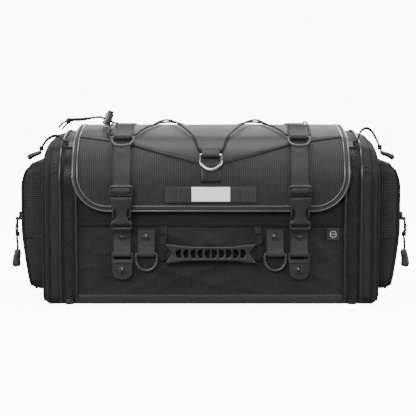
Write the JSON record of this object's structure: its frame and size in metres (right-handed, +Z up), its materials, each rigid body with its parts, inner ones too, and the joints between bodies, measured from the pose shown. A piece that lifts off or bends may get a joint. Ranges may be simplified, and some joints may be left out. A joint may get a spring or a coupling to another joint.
{
  "type": "motorcycle tail bag",
  "caption": "Rectangular motorcycle tail bag with a buckled flap, expanding zipped ends, side pockets, carry handle, D-rings and elastic cord lacing on top.",
  "frame": {"origin": "middle of the base, on the plane the bag stands on", "axes": "+Z up, +X to the right as seen from the front, -Y out of the front panel with the handle"},
  "size_m": [0.575, 0.3281, 0.2762],
  "materials": {
    "ballistic_nylon": "heavy black nylon with a vertical rib",
    "smooth_nylon": "smooth dark grey nylon",
    "coated_base": "coated base cloth, satin",
    "pvc_skin": "coated cloth with a soft gloss",
    "piping": "light grey welt",
    "webbing": "woven black webbing",
    "moulded_black": "moulded black plastic",
    "metal_bright": "polished metal",
    "metal_dark": "dark coated wire",
    "cord": "braided elastic",
    "zip": "zip tape and coil",
    "mesh_cloth": "pocket cloth with a mesh panel",
    "pull_rubber": "moulded pull",
    "label_white": "blank white label",
    "board": "stiff board"
  },
  "bodies": {
    "bag": {"base_panel": "coated_base", "base_board": "board", "front_panel": "ballistic_nylon", "front_band": "smooth_nylon", "back_panel": "ballistic_nylon", "top_collar": "smooth_nylon", "body_piping": "piping", "zip_tapes": "zip", "webbing_tabs": "webbing", "handle_patches": "webbing", "rivets": "metal_bright", "woven_tag": "cord", "left_buckle_socket": "moulded_black", "right_buckle_socket": "moulded_black"},
    "lid": {"lid_panel": "ballistic_nylon", "lid_yoke": "pvc_skin", "lid_binding": "piping", "straps": "webbing", "strap_folds": "webbing", "ring_loops": "webbing", "rear_loops": "webbing", "daisy_strip": "webbing", "label": "label_white", "left_buckle_plug": "moulded_black", "right_buckle_plug": "moulded_black", "elastic_cord": "cord", "cord_lock": "moulded_black"},
    "cord_lock_button": {"cord_lock_plunger": "moulded_black"},
    "left_top_ring": {"left_top_ring": "metal_dark"},
    "right_top_ring": {"right_top_ring": "metal_dark"},
    "centre_ring": {"centre_ring": "metal_bright"},
    "left_lower_ring": {"left_lower_ring": "metal_dark"},
    "right_lower_ring": {"right_lower_ring": "metal_dark"},
    "left_belt_tab": {"left_belt_tab": "moulded_black"},
    "right_belt_tab": {"right_belt_tab": "moulded_black"},
    "handle": {"handle_grip": "moulded_black", "handle_webbing": "webbing"},
    "left_end": {"left_end_shell": "ballistic_nylon", "left_end_piping": "piping", "left_zip_tape": "zip", "left_gusset": "smooth_nylon", "left_zip_slider": "metal_dark", "left_pocket_shell": "smooth_nylon", "left_pocket_zip": "zip"},
    "left_zip_pull": {"left_zip_pull": "pull_rubber"},
    "left_pocket_door": {"left_pocket_door": "mesh_cloth"},
    "left_pocket_slider": {"left_pocket_slider": "metal_dark"},
    "left_pocket_pull": {"left_pocket_pull": "pull_rubber"},
    "right_end": {"right_end_shell": "ballistic_nylon", "right_end_piping": "piping", "right_zip_tape": "zip", "right_gusset": "smooth_nylon", "right_zip_slider": "metal_dark", "right_pocket_shell": "smooth_nylon", "right_pocket_zip": "zip"},
    "right_zip_pull": {"right_zip_pull": "pull_rubber"},
    "right_pocket_door": {"right_pocket_door": "mesh_cloth"},
    "right_pocket_slider": {"right_pocket_slider": "metal_dark"},
    "right_pocket_pull": {"right_pocket_pull": "pull_rubber"}
  },
  "joints": [
    {"name": "lid_hinge", "type": "hinge", "parent": "bag", "child": "lid", "pos_m": [0, 0.1545, 0.1725], "axis": [-1, 0, 0], "range_deg": [0, 150]},
    {"name": "cord_lock_press", "type": "slide", "parent": "lid", "child": "cord_lock_button", "axis": [-0.3584, 0, -0.9336], "range_m": [0, 0.003], "stiffness_N_per_m": 400, "springref_m": -0.001},
    {"name": "left_top_ring_swing", "type": "hinge", "parent": "lid", "child": "left_top_ring", "pos_m": [-0.125, -0.12606, 0.23851], "axis": [-1, 0, 0], "range_deg": [0, 110]},
    {"name": "right_top_ring_swing", "type": "hinge", "parent": "lid", "child": "right_top_ring", "pos_m": [0.125, -0.12606, 0.23851], "axis": [-1, 0, 0], "range_deg": [0, 110]},
    {"name": "centre_ring_swing", "type": "hinge", "parent": "lid", "child": "centre_ring", "pos_m": [0, -0.14881, 0.21424], "axis": [-1, 0, 0], "range_deg": [0, 110]},
    {"name": "left_lower_ring_swing", "type": "hinge", "parent": "bag", "child": "left_lower_ring", "pos_m": [-0.091, -0.1496, 0.074], "axis": [-1, 0, 0], "range_deg": [0, 100]},
    {"name": "right_lower_ring_swing", "type": "hinge", "parent": "bag", "child": "right_lower_ring", "pos_m": [0.091, -0.1496, 0.074], "axis": [-1, 0, 0], "range_deg": [0, 100]},
    {"name": "left_belt_tab_swing", "type": "hinge", "parent": "bag", "child": "left_belt_tab", "pos_m": [-0.125, -0.1496, 0.074], "axis": [-1, 0, 0], "range_deg": [0, 100]},
    {"name": "right_belt_tab_swing", "type": "hinge", "parent": "bag", "child": "right_belt_tab", "pos_m": [0.125, -0.1496, 0.074], "axis": [-1, 0, 0], "range_deg": [0, 100]},
    {"name": "handle_swing", "type": "hinge", "parent": "bag", "child": "handle", "pos_m": [0, -0.1485, 0.1], "axis": [-1, 0, 0], "range_deg": [0, 90]},
    {"name": "left_end_expand", "type": "slide", "parent": "bag", "child": "left_end", "axis": [-1, 0, 0], "range_m": [0, 0.11], "deforming": ["left_gusset"]},
    {"name": "left_zip_pull_swing", "type": "hinge", "parent": "left_end", "child": "left_zip_pull", "pos_m": [-0.2055, -0.11911, 0.2308], "axis": [0, 0.8829, 0.4695], "range_deg": [0, 60]},
    {"name": "left_pocket_door_hinge", "type": "hinge", "parent": "left_end", "child": "left_pocket_door", "pos_m": [-0.2734, 0, 0.019], "axis": [0, -1, 0], "range_deg": [0, 80]},
    {"name": "left_pocket_zip_run", "type": "slide", "parent": "left_end", "child": "left_pocket_slider", "axis": [0, 0, 1], "range_m": [-0.04, 0.05]},
    {"name": "left_pocket_pull_swing", "type": "hinge", "parent": "left_pocket_slider", "child": "left_pocket_pull", "pos_m": [-0.2795, -0.1015, 0.12], "axis": [0, 1, 0], "range_deg": [0, 100]},
    {"name": "right_end_expand", "type": "slide", "parent": "bag", "child": "right_end", "axis": [1, 0, 0], "range_m": [0, 0.11], "deforming": ["right_gusset"]},
    {"name": "right_zip_pull_swing", "type": "hinge", "parent": "right_end", "child": "right_zip_pull", "pos_m": [0.2055, -0.11911, 0.2308], "axis": [0, -0.8829, -0.4695], "range_deg": [0, 60]},
    {"name": "right_pocket_door_hinge", "type": "hinge", "parent": "right_end", "child": "right_pocket_door", "pos_m": [0.2734, 0, 0.019], "axis": [0, 1, 0], "range_deg": [0, 80]},
    {"name": "right_pocket_zip_run", "type": "slide", "parent": "right_end", "child": "right_pocket_slider", "axis": [0, 0, 1], "range_m": [-0.04, 0.05]},
    {"name": "right_pocket_pull_swing", "type": "hinge", "parent": "right_pocket_slider", "child": "right_pocket_pull", "pos_m": [0.2795, -0.1015, 0.12], "axis": [0, -1, 0], "range_deg": [0, 100]}
  ]
}
